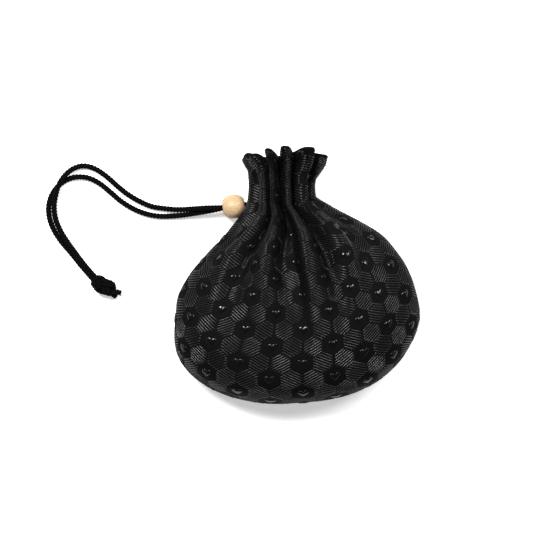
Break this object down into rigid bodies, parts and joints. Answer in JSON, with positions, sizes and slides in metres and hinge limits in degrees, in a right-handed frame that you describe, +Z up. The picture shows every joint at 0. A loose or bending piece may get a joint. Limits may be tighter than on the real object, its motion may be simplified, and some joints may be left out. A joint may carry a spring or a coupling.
{
  "type": "drawstring pouch",
  "caption": "Small gathered cloth pouch with a ruffled mouth, closed by a doubled braided cord that runs through a round wooden bead and ends in a knot.",
  "frame": {"origin": "under the middle of the cloth pouch, on the surface that it lies on", "axes": "+Z up from the surface, +Y from the bottom seam to the gathered mouth, +X towards the right side seam; the cord is drawn out along -X"},
  "size_m": [0.2059, 0.1431, 0.0423],
  "materials": {
    "front_cloth": "soft matt black cloth with a raised glossy pattern",
    "back_cloth": "soft matt black cloth with a raised glossy pattern",
    "casing_tape": "plain matt black tape",
    "cord": "matt black round braid",
    "bead_wood": "smooth pale wood, satin"
  },
  "bodies": {
    "pouch": {"front_panel": "front_cloth", "back_panel": "back_cloth", "casing_tape": "casing_tape", "cord_in_casing": "cord", "cord_strand_upper": "cord", "cord_strand_lower": "cord", "cord_knot": "cord"},
    "bead": {"bead": "bead_wood"}
  },
  "joints": [
    {"name": "bead_slide", "type": "slide", "parent": "pouch", "child": "bead", "axis": [-0.9929, -0.1192, 0], "range_m": [0, 0.006]}
  ]
}
